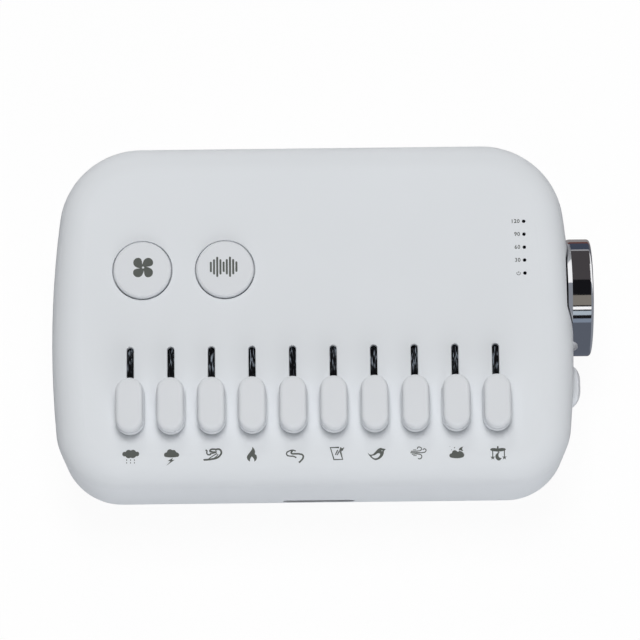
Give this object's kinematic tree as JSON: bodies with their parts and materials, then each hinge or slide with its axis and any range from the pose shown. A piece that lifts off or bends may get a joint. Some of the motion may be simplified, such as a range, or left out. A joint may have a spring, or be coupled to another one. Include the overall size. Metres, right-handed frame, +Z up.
{
  "type": "white noise sound machine",
  "caption": "Rounded white table sound machine with a row of slide controls, round push buttons, timer lights, a side volume knob and a speaker in its underside.",
  "frame": {"origin": "middle of the object's footprint, knob included, on the surface that the rubber feet stand on", "axes": "+X to the right towards the knob, +Y from the sliders to the rear, +Z up out of the panel"},
  "size_m": [0.1954, 0.125, 0.0634],
  "materials": {
    "white_housing": "fine-textured matte white",
    "white_keys": "satin white, smoother than the housing",
    "chrome_knob": "polished chrome plate",
    "black_plastic": "matte black",
    "black_slider_parts": "black, slightly shiny",
    "plated_steel": "bright zinc plate",
    "circuit_board": "green solder mask",
    "dark_rubber": "dark grey rubber",
    "black_felt": "black felt",
    "smoked_lens": "smoked clear plastic, dark when unlit",
    "led_lens": "milky",
    "cable_jacket": "grey vinyl",
    "speaker_steel": "dark grey lacquer",
    "speaker_paper": "pressed dark paper"
  },
  "bodies": {
    "housing": {"top_cover": "white_housing", "bottom_shell": "white_housing", "front_vent": "black_plastic", "speaker_grille": "black_plastic", "rubber_feet": "dark_rubber", "case_screws": "plated_steel", "slider_board": "circuit_board", "main_board": "circuit_board", "side_board": "circuit_board", "board_screws": "plated_steel", "usb_socket": "plated_steel", "cable_harness": "cable_jacket", "slot_screen": "black_felt", "tact_switches": "black_plastic", "timer_leds": "led_lens", "light_guide": "smoked_lens", "encoder_body": "plated_steel", "encoder_nut": "plated_steel", "speaker_gasket": "dark_rubber", "speaker_frame": "speaker_steel", "speaker_magnet": "speaker_steel", "speaker_cone": "speaker_paper", "slide_pot_01": "black_slider_parts", "slide_pot_02": "black_slider_parts", "slide_pot_03": "black_slider_parts", "slide_pot_04": "black_slider_parts", "slide_pot_05": "black_slider_parts", "slide_pot_06": "black_slider_parts", "slide_pot_07": "black_slider_parts", "slide_pot_08": "black_slider_parts", "slide_pot_09": "black_slider_parts", "slide_pot_10": "black_slider_parts"},
    "slider_01": {"slider_lever_01": "black_slider_parts", "slider_cap_01": "white_keys"},
    "slider_02": {"slider_lever_02": "black_slider_parts", "slider_cap_02": "white_keys"},
    "slider_03": {"slider_lever_03": "black_slider_parts", "slider_cap_03": "white_keys"},
    "slider_04": {"slider_lever_04": "black_slider_parts", "slider_cap_04": "white_keys"},
    "slider_05": {"slider_lever_05": "black_slider_parts", "slider_cap_05": "white_keys"},
    "slider_06": {"slider_lever_06": "black_slider_parts", "slider_cap_06": "white_keys"},
    "slider_07": {"slider_lever_07": "black_slider_parts", "slider_cap_07": "white_keys"},
    "slider_08": {"slider_lever_08": "black_slider_parts", "slider_cap_08": "white_keys"},
    "slider_09": {"slider_lever_09": "black_slider_parts", "slider_cap_09": "white_keys"},
    "slider_10": {"slider_lever_10": "black_slider_parts", "slider_cap_10": "white_keys"},
    "fan_button": {"fan_button": "white_keys", "fan_plunger": "black_plastic"},
    "sound_button": {"sound_button": "white_keys", "sound_plunger": "black_plastic"},
    "side_button": {"side_button": "white_keys", "side_plunger": "black_plastic"},
    "volume_knob": {"volume_knob": "chrome_knob", "encoder_shaft": "plated_steel"}
  },
  "joints": [
    {"name": "slider_01_slide", "type": "slide", "parent": "housing", "child": "slider_01", "axis": [0, 1, 0], "range_m": [0, 0.02]},
    {"name": "slider_02_slide", "type": "slide", "parent": "housing", "child": "slider_02", "axis": [0, 1, 0], "range_m": [0, 0.02]},
    {"name": "slider_03_slide", "type": "slide", "parent": "housing", "child": "slider_03", "axis": [0, 1, 0], "range_m": [0, 0.02]},
    {"name": "slider_04_slide", "type": "slide", "parent": "housing", "child": "slider_04", "axis": [0, 1, 0], "range_m": [0, 0.02]},
    {"name": "slider_05_slide", "type": "slide", "parent": "housing", "child": "slider_05", "axis": [0, 1, 0], "range_m": [0, 0.02]},
    {"name": "slider_06_slide", "type": "slide", "parent": "housing", "child": "slider_06", "axis": [0, 1, 0], "range_m": [0, 0.02]},
    {"name": "slider_07_slide", "type": "slide", "parent": "housing", "child": "slider_07", "axis": [0, 1, 0], "range_m": [0, 0.02]},
    {"name": "slider_08_slide", "type": "slide", "parent": "housing", "child": "slider_08", "axis": [0, 1, 0], "range_m": [0, 0.02]},
    {"name": "slider_09_slide", "type": "slide", "parent": "housing", "child": "slider_09", "axis": [0, 1, 0], "range_m": [0, 0.02]},
    {"name": "slider_10_slide", "type": "slide", "parent": "housing", "child": "slider_10", "axis": [0, 1, 0], "range_m": [0, 0.02]},
    {"name": "fan_button_press", "type": "slide", "parent": "housing", "child": "fan_button", "axis": [0, 0, -1], "range_m": [0, 0.0006], "stiffness_N_per_m": 1500},
    {"name": "sound_button_press", "type": "slide", "parent": "housing", "child": "sound_button", "axis": [0, 0, -1], "range_m": [0, 0.0006], "stiffness_N_per_m": 1500},
    {"name": "side_button_press", "type": "slide", "parent": "housing", "child": "side_button", "axis": [-1, 0, 0], "range_m": [0, 0.0006], "stiffness_N_per_m": 1500},
    {"name": "volume_knob_turn", "type": "hinge", "parent": "housing", "child": "volume_knob", "pos_m": [0.0886, 0.0089, 0.03], "axis": [1, 0, 0], "continuous": true}
  ]
}
